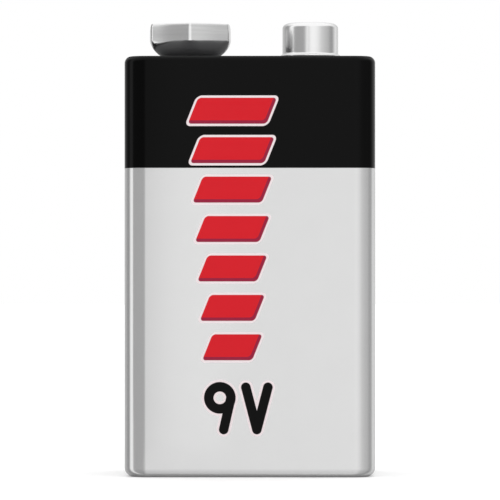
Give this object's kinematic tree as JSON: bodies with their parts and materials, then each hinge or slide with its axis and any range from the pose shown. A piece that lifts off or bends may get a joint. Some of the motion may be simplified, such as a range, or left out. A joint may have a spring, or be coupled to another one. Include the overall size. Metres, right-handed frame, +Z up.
{
  "type": "nine volt battery",
  "caption": "Rectangular block battery in a folded, printed steel jacket, with a small round stud and a larger six-sided snap socket side by side on its top.",
  "frame": {"origin": "middle of the underside, on the plane that the battery stands on", "axes": "+Z up through the terminals' end, -Y out of the printed front, +X to the right seen from the front, towards the positive stud"},
  "size_m": [0.0262, 0.0174, 0.0477],
  "materials": {
    "printed_steel": "lacquered print, black above and silver below",
    "nickel_plate": "bright nickel plate on pressed steel, with fine drawing lines",
    "moulded_board": "smooth moulding",
    "rivet_steel": "plain",
    "nickel_strip": "rolled",
    "grey_card": "calendered",
    "cell_film": "shrunk film"
  },
  "bodies": {
    "root": {"jacket": "printed_steel", "terminal_board": "moulded_board", "base_plate": "moulded_board", "liner": "grey_card", "top_card": "grey_card", "base_card": "grey_card", "positive_stud": "nickel_plate", "negative_socket": "nickel_plate", "positive_rivet": "rivet_steel", "negative_rivet": "rivet_steel", "positive_lead": "nickel_strip", "negative_lead": "nickel_strip", "cell_1": "cell_film", "cell_2": "cell_film", "cell_3": "cell_film", "cell_4": "cell_film", "cell_5": "cell_film", "cell_6": "cell_film", "base_link_1": "nickel_strip", "base_link_2": "nickel_strip", "base_link_3": "nickel_strip", "top_link_1": "nickel_strip", "top_link_2": "nickel_strip"}
  },
  "joints": []
}
